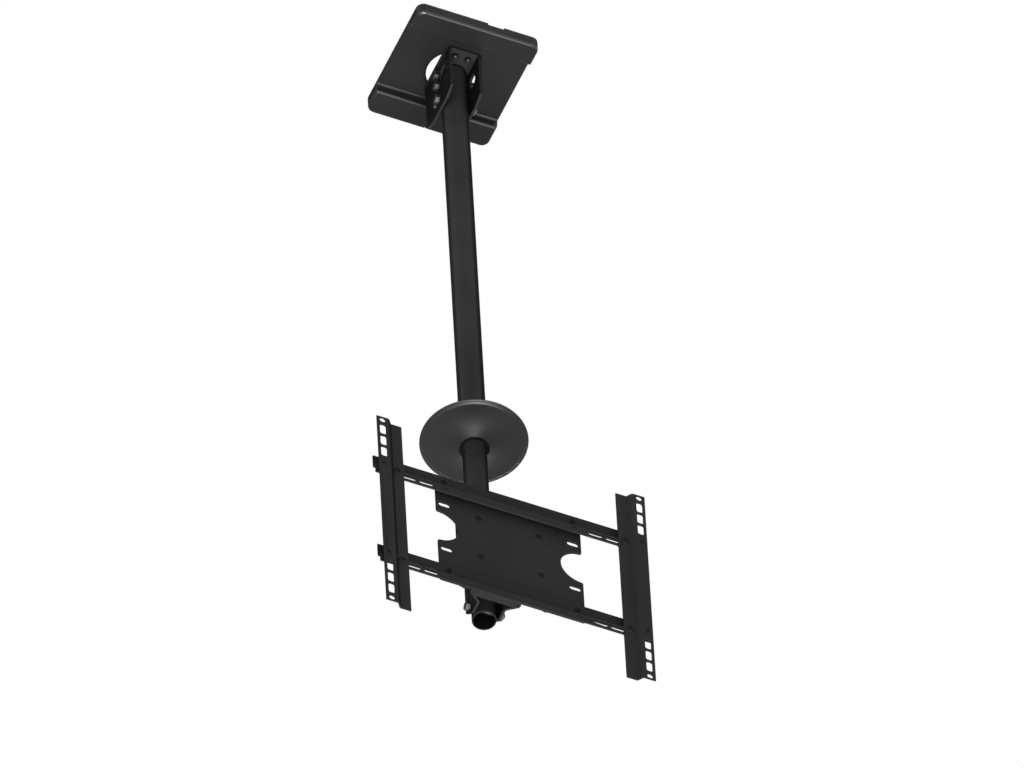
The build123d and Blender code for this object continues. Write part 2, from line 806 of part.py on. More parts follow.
with BuildPart() as upper_rail:
    rail(rail_tops[0], strip_zs[0], lip_screw_zs[0])
save(upper_rail, "upper_rail")

with BuildPart() as lower_rail:
    rail(rail_tops[1], strip_zs[1], lip_screw_zs[1])
save(lower_rail, "lower_rail")

# Low-headed screws hold the rails' lips on the plate
with BuildPart() as lip_screws:
    for s in (left, right):
        for z in lip_screw_zs:
            length = rail_thick + panel_thick + M5.nut + short_end
            button_screw(M5, (s * rail_screw_x, -panel_front - rail_thick, z), (0, 1, 0), length)
save(lip_screws, "lip_screws")

with BuildPart() as lip_nuts:
    for s in (left, right):
        for z in lip_screw_zs:
            hex_nut(M5, (s * rail_screw_x, -panel_back, z), (0, 1, 0))
save(lip_nuts, "lip_nuts")


def arm(side):
    """A vertical screen arm: an inner flange on the rails, a joggle and a slotted outer flange."""
    bottom = arm_centre - arm_length / 2
    with BuildSketch(Plane.XY.offset(bottom)) as section:
        folded(
            [
                (side * arm_inner, -arm_back),
                (side * arm_joggle, -arm_back),
                (side * arm_outer_start, -arm_front + arm_thick),
                (side * arm_outer, -arm_front + arm_thick),
            ],
            arm_bend,
            arm_thick,
            Side.RIGHT if side == right else Side.LEFT,
        )
    extrude(section.sketch, amount=arm_length)
    hole_column = vesa_pitch / 2
    with BuildSketch(Plane.XZ.offset(arm_front)) as holes:
        for sz in (left, right):
            with Locations((side * hole_column, arm_centre + sz * vesa_pitch / 2)):
                Circle(vesa_hole_radius)
            for i in range(arm_slot_count):
                reach = vesa_pitch / 2 - arm_slot_drop - i * arm_slot_pitch
                z = arm_centre + sz * reach
                with Locations((side * hole_column, z)):
                    RectangleRounded(arm_slot[1], arm_slot[0], arm_slot[1] / 3)
        with Locations([(side * arm_grub_x, z) for z in strip_zs]):
            Circle(M5.radius + thread_gap)
    extrude(holes.sketch, amount=-arm_thick, mode=Mode.SUBTRACT)
    for z in strip_zs:
        bar((side * arm_bolt_x, -arm_front, z), (0, 1, 0), M6.radius + hole_gap,
            arm_front - rail_front, mode=Mode.SUBTRACT)


def arm_bolts(side):
    """Two low-headed bolts through an arm and the rails' slots."""
    for z in strip_zs:
        length = arm_thick + slide_gap + rail_thick + slide_gap + arm_nut_thick + bolt_end
        seat = (side * arm_bolt_x, -arm_back - arm_thick, z)
        button_screw(M6, seat, (0, 1, 0), length)


def arm_nuts(side):
    """Flat nuts behind the rails, taller than the slots."""
    for z in strip_zs:
        seat = (side * arm_bolt_x, -rail_front + rail_thick + slide_gap, z)
        with BuildSketch(Plane(origin=seat, x_dir=(1, 0, 0), z_dir=(0, 1, 0))) as section:
            with Locations((0, arm_nut_drop)):
                RectangleRounded(*arm_nut)
            Circle(M6.radius + thread_gap, mode=Mode.SUBTRACT)
        extrude(section.sketch, amount=arm_nut_thick)


def arm_grubs(side):
    """Two grub screws through an arm's outer flange that reach to the rails' strips."""
    for z in strip_zs:
        start = -arm_front - M5.radius / 2
        bar((side * arm_grub_x, start, z), (0, 1, 0), M5.radius, -start - arm_back)


with BuildPart() as left_arm:
    arm(left)
save(left_arm, "left_arm")

with BuildPart() as right_arm:
    arm(right)
save(right_arm, "right_arm")

with BuildPart() as left_arm_bolts:
    arm_bolts(left)
save(left_arm_bolts, "left_arm_bolts")

with BuildPart() as right_arm_bolts:
    arm_bolts(right)
save(right_arm_bolts, "right_arm_bolts")

with BuildPart() as left_arm_nuts:
    arm_nuts(left)
save(left_arm_nuts, "left_arm_nuts")

with BuildPart() as right_arm_nuts:
    arm_nuts(right)
save(right_arm_nuts, "right_arm_nuts")

with BuildPart() as left_arm_grubs:
    arm_grubs(left)
save(left_arm_grubs, "left_arm_grubs")

with BuildPart() as right_arm_grubs:
    arm_grubs(right)
save(right_arm_grubs, "right_arm_grubs")
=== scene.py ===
"""Dressed model of a ceiling mount for a flat screen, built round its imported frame.

Metres, in the frame's own axes: the origin is on the pole in the ceiling plane, +X runs
along the rails, +Y to the back and +Z up. Every finished piece has its place in its mesh.
"""

import logging
import math
from dataclasses import dataclass
from enum import Enum
from functools import cache

import bpy
from mathutils import Matrix, Vector


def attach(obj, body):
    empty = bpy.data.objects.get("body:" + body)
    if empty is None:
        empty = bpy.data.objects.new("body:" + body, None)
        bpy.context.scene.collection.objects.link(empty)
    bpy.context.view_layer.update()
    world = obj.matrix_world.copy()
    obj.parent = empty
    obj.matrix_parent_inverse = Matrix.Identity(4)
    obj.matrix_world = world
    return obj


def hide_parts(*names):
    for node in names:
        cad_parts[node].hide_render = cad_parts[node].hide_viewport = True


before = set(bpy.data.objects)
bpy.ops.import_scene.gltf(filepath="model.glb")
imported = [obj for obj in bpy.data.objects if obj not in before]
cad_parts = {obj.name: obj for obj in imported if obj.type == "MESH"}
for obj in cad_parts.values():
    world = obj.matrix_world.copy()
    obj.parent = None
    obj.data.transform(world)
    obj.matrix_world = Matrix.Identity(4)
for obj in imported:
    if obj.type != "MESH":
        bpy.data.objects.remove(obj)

log = logging.getLogger("ceiling_mount")

MM = 0.001
MERGE_REACH = 1e-6
SMOOTH_ANGLE = math.radians(32.0)
FLAT_ANGLE = math.radians(0.5)
FLAT_WEIGHT = 100
NUT_MARGIN = 2 * MM
ROUND_STEPS = 40
FINE_STEPS = 48
SIDES = (-1, 1)

Point = tuple[float, float, float]
Pair = tuple[float, float]
Profile = list[Pair]
Piece = bpy.types.Object
Tree = bpy.types.NodeTree
Node = bpy.types.Node
Socket = bpy.types.NodeSocket
Sockets = bpy.types.bpy_prop_collection

RIGHT: Point = (1, 0, 0)
BACK: Point = (0, 1, 0)
DOWN: Point = (0, 0, -1)


class Slot(Enum):
    """The record's finish slots."""

    STEEL = "black_steel"
    PLASTIC = "cover_plastic"
    FASTENER = "black_fastener"
    RUBBER = "rose_rubber"


class Side(Enum):
    """Which side of the pole a piece is on, as the sign of its X."""

    LEFT = -1
    RIGHT = 1


class Drive(Enum):
    """How a screw is turned."""

    HEX_HEAD = "hex head"
    BUTTON = "button head"
    COUNTERSUNK = "countersunk head"
    GRUB = "no head"


# Bench helpers


def clear_selection() -> None:
    """Leave edit mode and select nothing."""
    active = bpy.context.view_layer.objects.active
    if active is not None and active.mode != "OBJECT":
        bpy.ops.object.mode_set(mode="OBJECT")
    bpy.ops.object.select_all(action="DESELECT")


def take(*pieces: Piece) -> None:
    """Select these pieces alone and make the first one active.

    Args:
        pieces: The pieces to select.
    """
    clear_selection()
    for piece in pieces:
        piece.select_set(True)
    bpy.context.view_layer.objects.active = pieces[0]


def apply_modifier(piece: Piece, kind: str, **settings: object) -> None:
    """Add a modifier to a piece and apply it.

    Args:
        piece: The piece to change.
        kind: The modifier's type.
        settings: The modifier's own settings.
    """
    modifier = piece.modifiers.new(kind.title(), kind)
    for name, value in settings.items():
        setattr(modifier, name, value)
    take(piece)
    bpy.ops.object.modifier_apply(modifier=modifier.name)


def smooth(piece: Piece) -> None:
    """Shade a piece smooth, apart from its sharp edges."""
    take(piece)
    bpy.ops.object.shade_smooth_by_angle(angle=SMOOTH_ANGLE)


def join(name: str, pieces: list[Piece]) -> Piece:
    """Join several pieces as one.

    Args:
        name: The name of the joined piece.
        pieces: The pieces, at least one.

    Returns:
        The joined piece.
    """
    take(*pieces)
    if len(pieces) > 1:
        bpy.ops.object.join()
    pieces[0].name = name
    return pieces[0]


def settle(piece: Piece) -> None:
    """Put a piece's place, turn and scale in its mesh."""
    take(piece)
    bpy.ops.object.transform_apply(location=True, rotation=True, scale=True)


def copy_at(model: Piece, place: Matrix) -> Piece:
    """Copy a model with its own mesh and put the place in that mesh.

    Args:
        model: The piece to copy, built at the origin along +Z.
        place: Where the copy goes.

    Returns:
        The copy, whose object sits at the origin.
    """
    twin = bpy.data.objects.new(model.name, model.data.copy())
    bpy.context.collection.objects.link(twin)
    twin.matrix_world = place
    settle(twin)
    return twin


def stance(start: Point, direction: Point) -> Matrix:
    """The place of a piece that stands on start and runs along an axis.

    Args:
        start: Where the piece's foot goes.
        direction: A unit vector along X, Y or Z.

    Returns:
        A matrix that keeps a hexagon's corners up and down, or along X on an upright axis.
    """
    along = Vector(direction)
    upright = abs(along.z) > abs(along.x) + abs(along.y)
    corner = Vector((1, 0, 0)) if upright else Vector((0, 0, 1))
    across = corner.cross(along)
    place = Matrix((across, corner, along)).transposed().to_4x4()
    place.translation = Vector(start)
    return place


def turned(name: str, profile: Profile, steps: int = ROUND_STEPS) -> Piece:
    """Draw a half profile point by point and spin it round +Z.

    Args:
        name: The piece's name.
        profile: Points of radius and height, from axis to axis, or back to the first point
            for a hollow piece.
        steps: How many segments go round.

    Returns:
        The turned piece, closed and with its faces outwards.
    """
    clear_selection()
    bpy.ops.mesh.primitive_plane_add(size=MM)
    piece = bpy.context.object
    piece.name = name
    bpy.ops.object.mode_set(mode="EDIT")
    bpy.ops.mesh.merge(type="CENTER")
    bpy.ops.transform.translate(value=(profile[0][0], 0, profile[0][1]))
    for (radius, height), (next_radius, next_height) in zip(profile, profile[1:]):
        step = (next_radius - radius, 0, next_height - height)
        bpy.ops.mesh.extrude_vertices_move(TRANSFORM_OT_translate={"value": step})
    bpy.ops.mesh.select_all(action="SELECT")
    bpy.ops.mesh.spin(steps=steps, angle=math.tau, center=(0, 0, 0), axis=(0, 0, 1))
    bpy.ops.mesh.select_all(action="SELECT")
    bpy.ops.mesh.remove_doubles(threshold=MERGE_REACH)
    bpy.ops.mesh.normals_make_consistent(inside=False)
    bpy.ops.object.mode_set(mode="OBJECT")
    return piece


def hex_prism(name: str, across: float, start: float, height: float) -> Piece:
    """A hexagonal prism on the +Z axis.

    Args:
        name: The piece's name.
        across: The size across flats.
        start: The height of its foot.
        height: How tall it is.

    Returns:
        The prism, with two corners on the Y axis.
    """
    clear_selection()
    bpy.ops.mesh.primitive_cylinder_add(
        vertices=6,
        radius=across / 2 / math.cos(math.pi / 6),
        depth=height,
        location=(0, 0, start + height / 2),
    )
    prism = bpy.context.object
    prism.name = name
    settle(prism)
    return prism


def combine(piece: Piece, tool: Piece, operation: str) -> None:
    """Cut or trim a piece with a tool, which is used up.

    Args:
        piece: The piece to change.
        tool: The piece that does it.
        operation: DIFFERENCE or INTERSECT.
    """
    apply_modifier(piece, "BOOLEAN", object=tool, operation=operation, solver="EXACT")
    bpy.data.objects.remove(tool)


# Fasteners


@dataclass(frozen=True)
class Thread:
    """The sizes that go with one thread."""

    radius: float
    pitch: float
    across: float
    head: float
    nut: float
    washer_radius: float
    washer_thick: float
    socket: float

    @property
    def root(self) -> float:
        """The radius at the foot of the thread."""
        return self.radius - 0.55 * self.pitch

    def ridges(self, start: float, end: float) -> Profile:
        """The profile of the thread's ridges.

        Args:
            start: The height where the thread begins.
            end: The height where it ends.

        Returns:
            Points of radius and height, crest and root in turn.
        """
        turns = max(1, int((end - start) / self.pitch))
        step = (end - start) / turns
        points: Profile = []
        for turn in range(turns):
            foot = start + turn * step
            points += [(self.radius, foot + 0.1 * step), (self.radius, foot + 0.25 * step)]
            points += [(self.root, foot + 0.6 * step), (self.root, foot + 0.75 * step)]
        return points


M5 = Thread(2.5 * MM, 0.8 * MM, 8 * MM, 3.5 * MM, 4 * MM, 5 * MM, 1 * MM, 3 * MM)
M6 = Thread(3 * MM, 1 * MM, 10 * MM, 4 * MM, 5 * MM, 6 * MM, 1.6 * MM, 4 * MM)
M8 = Thread(4 * MM, 1.25 * MM, 13 * MM, 5.3 * MM, 6.5 * MM, 8 * MM, 1.6 * MM, 5 * MM)


@dataclass(frozen=True)
class FastenerShop:
    """Models each kind of screw, nut and washer once, at the origin along +Z."""

    chamfer_slope: float = 0.5
    crown_share: float = 0.93
    rim: float = 0.25 * MM
    play: float = 0.02 * MM
    washer_play: float = 0.25 * MM
    dome: tuple[float, ...] = (0, 25, 40, 55, 70, 82, 90)

    def chamfered_hex(self, name: str, across: float, height: float, both: bool) -> Piece:
        """A hexagon whose corners are turned off at its end or ends.

        Args:
            name: The piece's name.
            across: The size across flats.
            height: How tall it is.
            both: Whether both ends are turned off, as on a nut.

        Returns:
            The hexagon, on the height 0.
        """
        corner = across / 2 / math.cos(math.pi / 6) + self.rim
        crown = self.crown_share * across / 2
        fall = (corner - crown) * self.chamfer_slope
        foot: Profile = [(crown, 0), (corner, fall)] if both else [(corner, 0)]
        blank = turned("blank", [
            (0, 0), *foot, (corner, height - fall), (crown, height), (0, height),
        ], FINE_STEPS)
        block = hex_prism(name, across, 0, height)
        combine(block, blank, "INTERSECT")
        return block

    def nut(self, thread: Thread) -> Piece:
        """A hex nut that stands on the height 0.

        Args:
            thread: The thread's sizes.

        Returns:
            The nut.
        """
        block = self.chamfered_hex("nut", thread.across, thread.nut, both=True)
        flare = 0.3 * thread.pitch
        bore = thread.radius + self.play
        hole = turned("hole", [
            (0, -flare), (bore + 2 * flare, -flare), (bore, flare), (bore, thread.nut - flare),
            (bore + 2 * flare, thread.nut + flare), (0, thread.nut + flare),
        ])
        combine(block, hole, "DIFFERENCE")
        return block

    def washer(self, thread: Thread) -> Piece:
        """A plain washer with broken edges that lies on the height 0.

        Args:
            thread: The sizes of the thread that it goes with.

        Returns:
            The washer.
        """
        inner = thread.radius + self.washer_play
        outer, thick, rim = thread.washer_radius, thread.washer_thick, self.rim
        return turned("washer", [
            (inner, 0), (outer - rim, 0), (outer, rim), (outer, thick - rim),
            (outer - rim, thick), (inner + rim, thick), (inner, thick - rim), (inner, 0),
        ])

    def shank(self, thread: Thread, length: float, plain: float) -> Piece:
        """A screw's shank from the height 0, with its thread at the far end.

        Args:
            thread: The thread's sizes.
            length: The shank's length.
            plain: The length that carries no thread.

        Returns:
            The shank.
        """
        tip = 0.5 * thread.pitch
        return turned("shank", [
            (0, 0), (thread.radius, 0), (thread.radius, plain),
            *thread.ridges(plain, length - tip),
            (thread.root, length), (0, length),
        ])

    def screw(self, thread: Thread, drive: Drive, length: float, plain: float) -> Piece:
        """A screw whose seat is at the height 0 and whose shank runs up.

        Args:
            thread: The thread's sizes.
            drive: How the screw is turned.
            length: From the seat to the tip. For a grub screw, its whole length.
            plain: The length of shank under the head that carries no thread.

        Returns:
            The screw.
        """
        if drive is Drive.GRUB:
            return self.socketed(self.shank(thread, length, plain), thread, 0)
        if drive is Drive.HEX_HEAD:
            head = self.chamfered_hex("head", thread.across, thread.head, both=False)
            head.matrix_world = Matrix.Rotation(math.pi, 4, "Y")
            settle(head)
        elif drive is Drive.COUNTERSUNK:
            wide, rim = 2 * thread.radius, self.rim
            top = wide - thread.radius + rim
            blank = turned("head", [
                (0, 0), (wide - rim, 0), (wide, rim / 2), (wide, rim),
                (thread.radius, top), (0, top),
            ])
            head = self.socketed(blank, thread, 0)
        else:
            wide = 0.55 * thread.across
            angles = [math.radians(angle) for angle in self.dome]
            dome = [(wide * math.sin(angle), -thread.radius * math.cos(angle)) for angle in angles]
            blank = turned("head", [*dome, (0, 0)])
            head = self.socketed(blank, thread, -thread.radius)
        return join("screw", [head, self.shank(thread, length, plain)])

    def socketed(self, blank: Piece, thread: Thread, face: float) -> Piece:
        """Sink a hex socket in a blank.

        Args:
            blank: The head or screw to sink it in.
            thread: The thread's sizes, with the key's size.
            face: The height of the face that the socket opens on.

        Returns:
            The same blank, with its socket.
        """
        depth = 0.6 * thread.radius
        cutter = hex_prism("cutter", thread.socket, face - depth, 2 * depth)
        combine(blank, cutter, "DIFFERENCE")
        return blank


SHOP = FastenerShop()


# Shader groups and the numbers that shape their noise

GRIT_SCALE = 3.1
GRIT_SHARE = 0.3
WEAR_START = 0.35
DUST_START = 0.55
PATCH_GAIN = 2.2
TURN_GAIN = 9.0


def put(node: Node, values: dict[str, object]) -> None:
    """Put a number or a colour on each named input of a node."""
    for label, value in values.items():
        node.inputs[label].default_value = value


def new_group(
    name: str, inputs: dict[str, float], outputs: list[str]
) -> tuple[Tree, Sockets, Sockets]:
    """Start a shader group with float inputs and outputs.

    Args:
        name: The group's name.
        inputs: Each input's name and usual value.
        outputs: The outputs' names.

    Returns:
        The group's tree, what it is given and what it puts out.
    """
    group = bpy.data.node_groups.new(name, "ShaderNodeTree")
    for label, value in inputs.items():
        socket = group.interface.new_socket(label, in_out="INPUT", socket_type="NodeSocketFloat")
        socket.default_value = value
    for label in outputs:
        group.interface.new_socket(label, in_out="OUTPUT", socket_type="NodeSocketFloat")
    given = group.nodes.new("NodeGroupInput").outputs
    result = group.nodes.new("NodeGroupOutput").inputs
    return group, given, result


def maths(tree: Tree, operation: str, *values: float | Socket, clamp: bool = False) -> Socket:
    """Add a maths node.

    Args:
        tree: The tree that it goes in.
        operation: What it does.
        values: Numbers or sockets, in the node's order.
        clamp: Whether the result stays between 0 and 1.

    Returns:
        The node's output.
    """
    node = tree.nodes.new("ShaderNodeMath")
    node.operation = operation
    node.use_clamp = clamp
    for socket, value in zip(node.inputs, values):
        if isinstance(value, (int, float)):
            socket.default_value = value
        else:
            tree.links.new(value, socket)
    return node.outputs[0]


def surface(tree: Tree, what: str) -> Socket:
    """Add where the surface is, as Object, or which way it faces, as Normal."""
    return tree.nodes.new("ShaderNodeTexCoord").outputs[what]


def noise(tree: Tree, scale: Socket, detail: float) -> Socket:
    """Add a noise texture.

    Args:
        tree: The tree that it goes in.
        scale: How many features there are to a metre.
        detail: How many finer layers it has.

    Returns:
        The noise's value.
    """
    node = tree.nodes.new("ShaderNodeTexNoise")
    node.inputs["Detail"].default_value = detail
    tree.links.new(surface(tree, "Object"), node.inputs["Vector"])
    tree.links.new(scale, node.inputs["Scale"])
    return node.outputs[0]


def smooth_step(tree: Tree, value: Socket, low: float, high: float) -> Socket:
    """Add a smooth rise from 0 to 1.

    Args:
        tree: The tree that it goes in.
        value: What it follows.
        low: Where it leaves 0.
        high: Where it reaches 1.

    Returns:
        The rise.
    """
    node = tree.nodes.new("ShaderNodeMapRange")
    node.interpolation_type = "SMOOTHSTEP"
    put(node, {"From Min": low, "From Max": high})
    tree.links.new(value, node.inputs["Value"])
    return node.outputs["Result"]


def shares(tree: Tree, what: str) -> tuple[Socket, Socket, Socket]:
    """Add the X, Y and Z of the surface's place or direction.

    Args:
        tree: The tree that they go in.
        what: Object or Normal.

    Returns:
        The three values.
    """
    parts = tree.nodes.new("ShaderNodeSeparateXYZ")
    tree.links.new(surface(tree, what), parts.inputs[0])
    return parts.outputs["X"], parts.outputs["Y"], parts.outputs["Z"]


def axis_distance(tree: Tree) -> Socket:
    """Add the distance from the Z axis.

    Args:
        tree: The tree that it goes in.

    Returns:
        The distance.
    """
    x, y, _ = shares(tree, "Object")
    across = maths(tree, "MULTIPLY", x, x)
    along = maths(tree, "MULTIPLY", y, y)
    return maths(tree, "SQRT", maths(tree, "ADD", across, along))


def orange_peel_group() -> Tree:
    """The skin of sprayed powder or moulded plastic: fine dimples and slow cloudy drifts.

    Returns:
        A group with Height for a bump, Cloud for colour and Gloss for roughness.
    """
    group, given, result = new_group(
        "orange_peel",
        {"Peel scale": 700.0, "Cloud scale": 9.0, "Gloss spread": 0.08},
        ["Height", "Cloud", "Gloss"],
    )
    peel = noise(group, given["Peel scale"], detail=2.0)
    grit = noise(group, maths(group, "MULTIPLY", given["Peel scale"], GRIT_SCALE), detail=1.0)
    height = maths(group, "ADD", peel, maths(group, "MULTIPLY", grit, GRIT_SHARE))
    cloud = noise(group, given["Cloud scale"], detail=4.0)
    drift = maths(group, "SUBTRACT", cloud, 0.5)
    spread = maths(group, "MULTIPLY", given["Gloss spread"], 2.0)
    gloss = maths(group, "MULTIPLY", drift, spread)
    group.links.new(height, result["Height"])
    group.links.new(cloud, result["Cloud"])
    group.links.new(gloss, result["Gloss"])
    return group


def edge_wear_and_highlight_group() -> Tree:
    """Edges lightened partly by rubbed wear and partly as painted highlight: a mask where the surface
    turns sharply, broken up by noise.

    Returns:
        A group that takes Turn, how far the rounded normal leaves the true one, and puts
        out Mask.
    """
    group, given, result = new_group(
        "wear_and_highlight_edges", {"Turn": 0.0, "Amount": 0.5, "Break scale": 120.0}, ["Mask"]
    )
    broken = noise(group, given["Break scale"], detail=5.0)
    above = maths(group, "SUBTRACT", broken, WEAR_START)
    raised = maths(group, "MULTIPLY", above, PATCH_GAIN, clamp=True)
    turn = maths(group, "MULTIPLY", given["Turn"], TURN_GAIN, clamp=True)
    worn = maths(group, "MULTIPLY", turn, raised)
    group.links.new(maths(group, "MULTIPLY", worn, given["Amount"]), result["Mask"])
    return group


def dust_group() -> Tree:
    """Fine dust that settles on what faces up.

    Returns:
        A group that takes Up, the upward share of the normal, and puts out Mask.
    """
    group, given, result = new_group(
        "settled_dust", {"Up": 0.0, "Amount": 0.1, "Patch scale": 26.0}, ["Mask"]
    )
    drift = noise(group, given["Patch scale"], detail=6.0)
    above = maths(group, "SUBTRACT", given["Up"], DUST_START)
    lies = maths(group, "MULTIPLY", above, PATCH_GAIN, clamp=True)
    patchy = maths(group, "MULTIPLY", lies, drift)
    group.links.new(maths(group, "MULTIPLY", patchy, given["Amount"]), result["Mask"])
    return group


def placed_group(tree: Tree, name: str, values: dict[str, float]) -> Node:
    """Place a shared group with its own values.

    Args:
        tree: The material's tree.
        name: The group's name.
        values: A value for each input that isn't linked.

    Returns:
        The group's node.
    """
    node = tree.nodes.new("ShaderNodeGroup")
    node.node_tree = bpy.data.node_groups[name]
    put(node, values)
    return node


def blend(tree: Tree, under: Socket, over: Point, mask: Socket) -> Socket:
    """Lay one plain colour over another by a mask.

    Args:
        tree: The material's tree.
        under: The colour below.
        over: The colour above.
        mask: How much of it shows.

    Returns:
        The blended colour.
    """
    mix = tree.nodes.new("ShaderNodeMix")
    mix.data_type = "RGBA"
    tree.links.new(mask, mix.inputs["Factor"])
    tree.links.new(under, mix.inputs["A"])
    mix.inputs["B"].default_value = (*over, 1.0)
    return mix.outputs["Result"]


def rounded(tree: Tree, radius: float) -> Socket:
    """The normal of a surface with rounded edges.

    Args:
        tree: The material's tree.
        radius: The edges' radius.

    Returns:
        The normal.
    """
    node = tree.nodes.new("ShaderNodeBevel")
    node.samples = 6
    node.inputs["Radius"].default_value = radius
    return node.outputs["Normal"]


# Finishes


@dataclass(frozen=True)
class Finish:
    """A painted, plated or moulded skin, made as a procedural material.

    hollow is the radius inside which a tube on the Z axis is painted near-black, a painted
    shade, soften the radius that rounds a moulding's edges to the eye, and edge_highlight_coat
    the coat on its front edges that brightens their highlights, a painted highlight.
    """

    name: str
    slot: Slot
    colour: Point
    # Edge colour, partly wear and partly painted highlight.
    worn_and_highlight_colour: Point
    roughness: float
    specular: float
    metallic: float = 0.0
    peel_scale: float = 700.0
    peel_depth: float = 0.012
    cloud_spread: float = 0.16
    gloss_spread: float = 0.08
    wear: float = 0.5
    wear_radius: float = 0.7 * MM
    peel_strength: float = 0.35
    dust: float = 0.05
    dust_rough: float = 0.5
    dust_colour: Point = (0.32, 0.31, 0.29)
    # Painted shade: seen at a shallow angle, the colour is darkened towards near-black.
    shallow_from: float = 0.46
    shallow_to: float = 0.82
    shallow_rough: float = 0.9
    shallow_painted_shade: float = 0.95
    painted_shade_colour: Point = (0.001, 0.001, 0.001)
    inner_painted_shade_colour: Point = (0.005, 0.005, 0.005)
    hollow: float = 0.0
    soften: float = 0.0
    # A coat on the front edges that brightens their highlights: a painted highlight.
    edge_highlight_coat: float = 0.0
    edge_turn: float = 3.0

    @cache
    def material(self) -> bpy.types.Material:
        """Make the finish's material, once.

        Returns:
            The material.
        """
        material = bpy.data.materials.new(self.name)
        material.use_nodes = True
        tree = material.node_tree
        shader = tree.nodes["Principled BSDF"]
        put(shader, {
            "Specular IOR Level": self.specular, "Metallic": self.metallic,
            "Coat Roughness": self.roughness,
        })
        sprayed = {"Peel scale": self.peel_scale, "Gloss spread": self.gloss_spread}
        peel = placed_group(tree, "orange_peel", sprayed)
        worn = self.worn_and_highlight_mask(tree)
        dusty = self.dust_mask(tree)
        painted = self.clouded_colour(tree, peel.outputs["Cloud"])
        # Lighter edges: partly wear, partly painted highlight.
        rubbed = blend(tree, painted, self.worn_and_highlight_colour, worn)
        settled = blend(tree, rubbed, self.dust_colour, dusty)
        # Painted shade: inside a tube and over most of its cut end, the colour is near-black.
        if self.hollow:
            settled = blend(tree, settled, self.inner_painted_shade_colour, self.inner_painted_shade_mask(tree))
        # Painted shade: the colour darkens towards near-black where the surface is seen at a shallow
        # angle.
        shallow = self.shallow_mask(tree)
        darker = maths(tree, "MULTIPLY", shallow, self.shallow_painted_shade)
        shaded = blend(tree, settled, self.painted_shade_colour, darker)
        tree.links.new(shaded, shader.inputs["Base Color"])
        rough = maths(tree, "ADD", peel.outputs["Gloss"], self.roughness)
        rough = maths(tree, "ADD", rough, maths(tree, "MULTIPLY", dusty, self.dust_rough))
        rougher = maths(tree, "MULTIPLY", shallow, self.shallow_rough)
        rough = maths(tree, "ADD", rough, rougher, clamp=True)
        tree.links.new(rough, shader.inputs["Roughness"])
        # Painted highlight: a coat only on the edges that face the under lamp.
        if self.edge_highlight_coat:
            gloss = maths(tree, "MULTIPLY", self.highlight_edge_mask(tree), self.edge_highlight_coat)
            tree.links.new(gloss, shader.inputs["Coat Weight"])
        bump = tree.nodes.new("ShaderNodeBump")
        put(bump, {"Strength": self.peel_strength, "Distance": self.peel_depth * MM})
        tree.links.new(peel.outputs["Height"], bump.inputs["Height"])
        if self.soften:
            tree.links.new(rounded(tree, self.soften), bump.inputs["Normal"])
        tree.links.new(bump.outputs["Normal"], shader.inputs["Normal"])
        return material

    def clouded_colour(self, tree: Tree, cloud: Socket) -> Socket:
        """The plain colour with its slow drifts.

        Args:
            tree: The material's tree.
            cloud: The drift's value.

        Returns:
            The colour.
        """
        ramp = tree.nodes.new("ShaderNodeValToRGB")
        for element, position, sign in zip(ramp.color_ramp.elements, (0.3, 0.7), SIDES):
            element.position = position
            element.color = (*(level * (1 + sign * self.cloud_spread) for level in self.colour), 1.0)
        tree.links.new(cloud, ramp.inputs["Fac"])
        return ramp.outputs["Color"]

    def worn_and_highlight_mask(self, tree: Tree) -> Socket:
        """Where the finish's edges are lightened, partly as rubbed wear and partly as painted
        highlight.

        Args:
            tree: The material's tree.

        Returns:
            The mask.
        """
        true = tree.nodes.new("ShaderNodeNewGeometry")
        agree = tree.nodes.new("ShaderNodeVectorMath")
        agree.operation = "DOT_PRODUCT"
        tree.links.new(rounded(tree, self.wear_radius), agree.inputs[0])
        tree.links.new(true.outputs["Normal"], agree.inputs[1])
        wear = placed_group(tree, "wear_and_highlight_edges", {"Amount": self.wear})
        tree.links.new(maths(tree, "SUBTRACT", 1.0, agree.outputs["Value"]), wear.inputs["Turn"])
        return wear.outputs["Mask"]

    def highlight_edge_mask(self, tree: Tree) -> Socket:
        """Where the skin rounds from its underside to its front, towards the under lamp; the coat laid
        there brightens the highlight lines, a painted highlight.
        """
        _, y, z = shares(tree, "Normal")
        return maths(tree, "MULTIPLY", maths(tree, "MULTIPLY", y, z), self.edge_turn, clamp=True)

    def inner_painted_shade_mask(self, tree: Tree) -> Socket:
        """Where a tube on the frame's Z axis is painted near-black inside, as painted shade."""
        return maths(tree, "LESS_THAN", axis_distance(tree), self.hollow)

    def shallow_mask(self, tree: Tree) -> Socket:
        """Where the finish is seen at a shallow angle; there shade is painted into its colour and it is
        made rougher.
        """
        weight = tree.nodes.new("ShaderNodeLayerWeight")
        return smooth_step(tree, weight.outputs["Facing"], self.shallow_from, self.shallow_to)

    def dust_mask(self, tree: Tree) -> Socket:
        """Where dust lies on the finish.

        Args:
            tree: The material's tree.

        Returns:
            The mask.
        """
        _, _, up = shares(tree, "Normal")
        dust = placed_group(tree, "settled_dust", {"Amount": self.dust})
        tree.links.new(up, dust.inputs["Up"])
        return dust.outputs["Mask"]


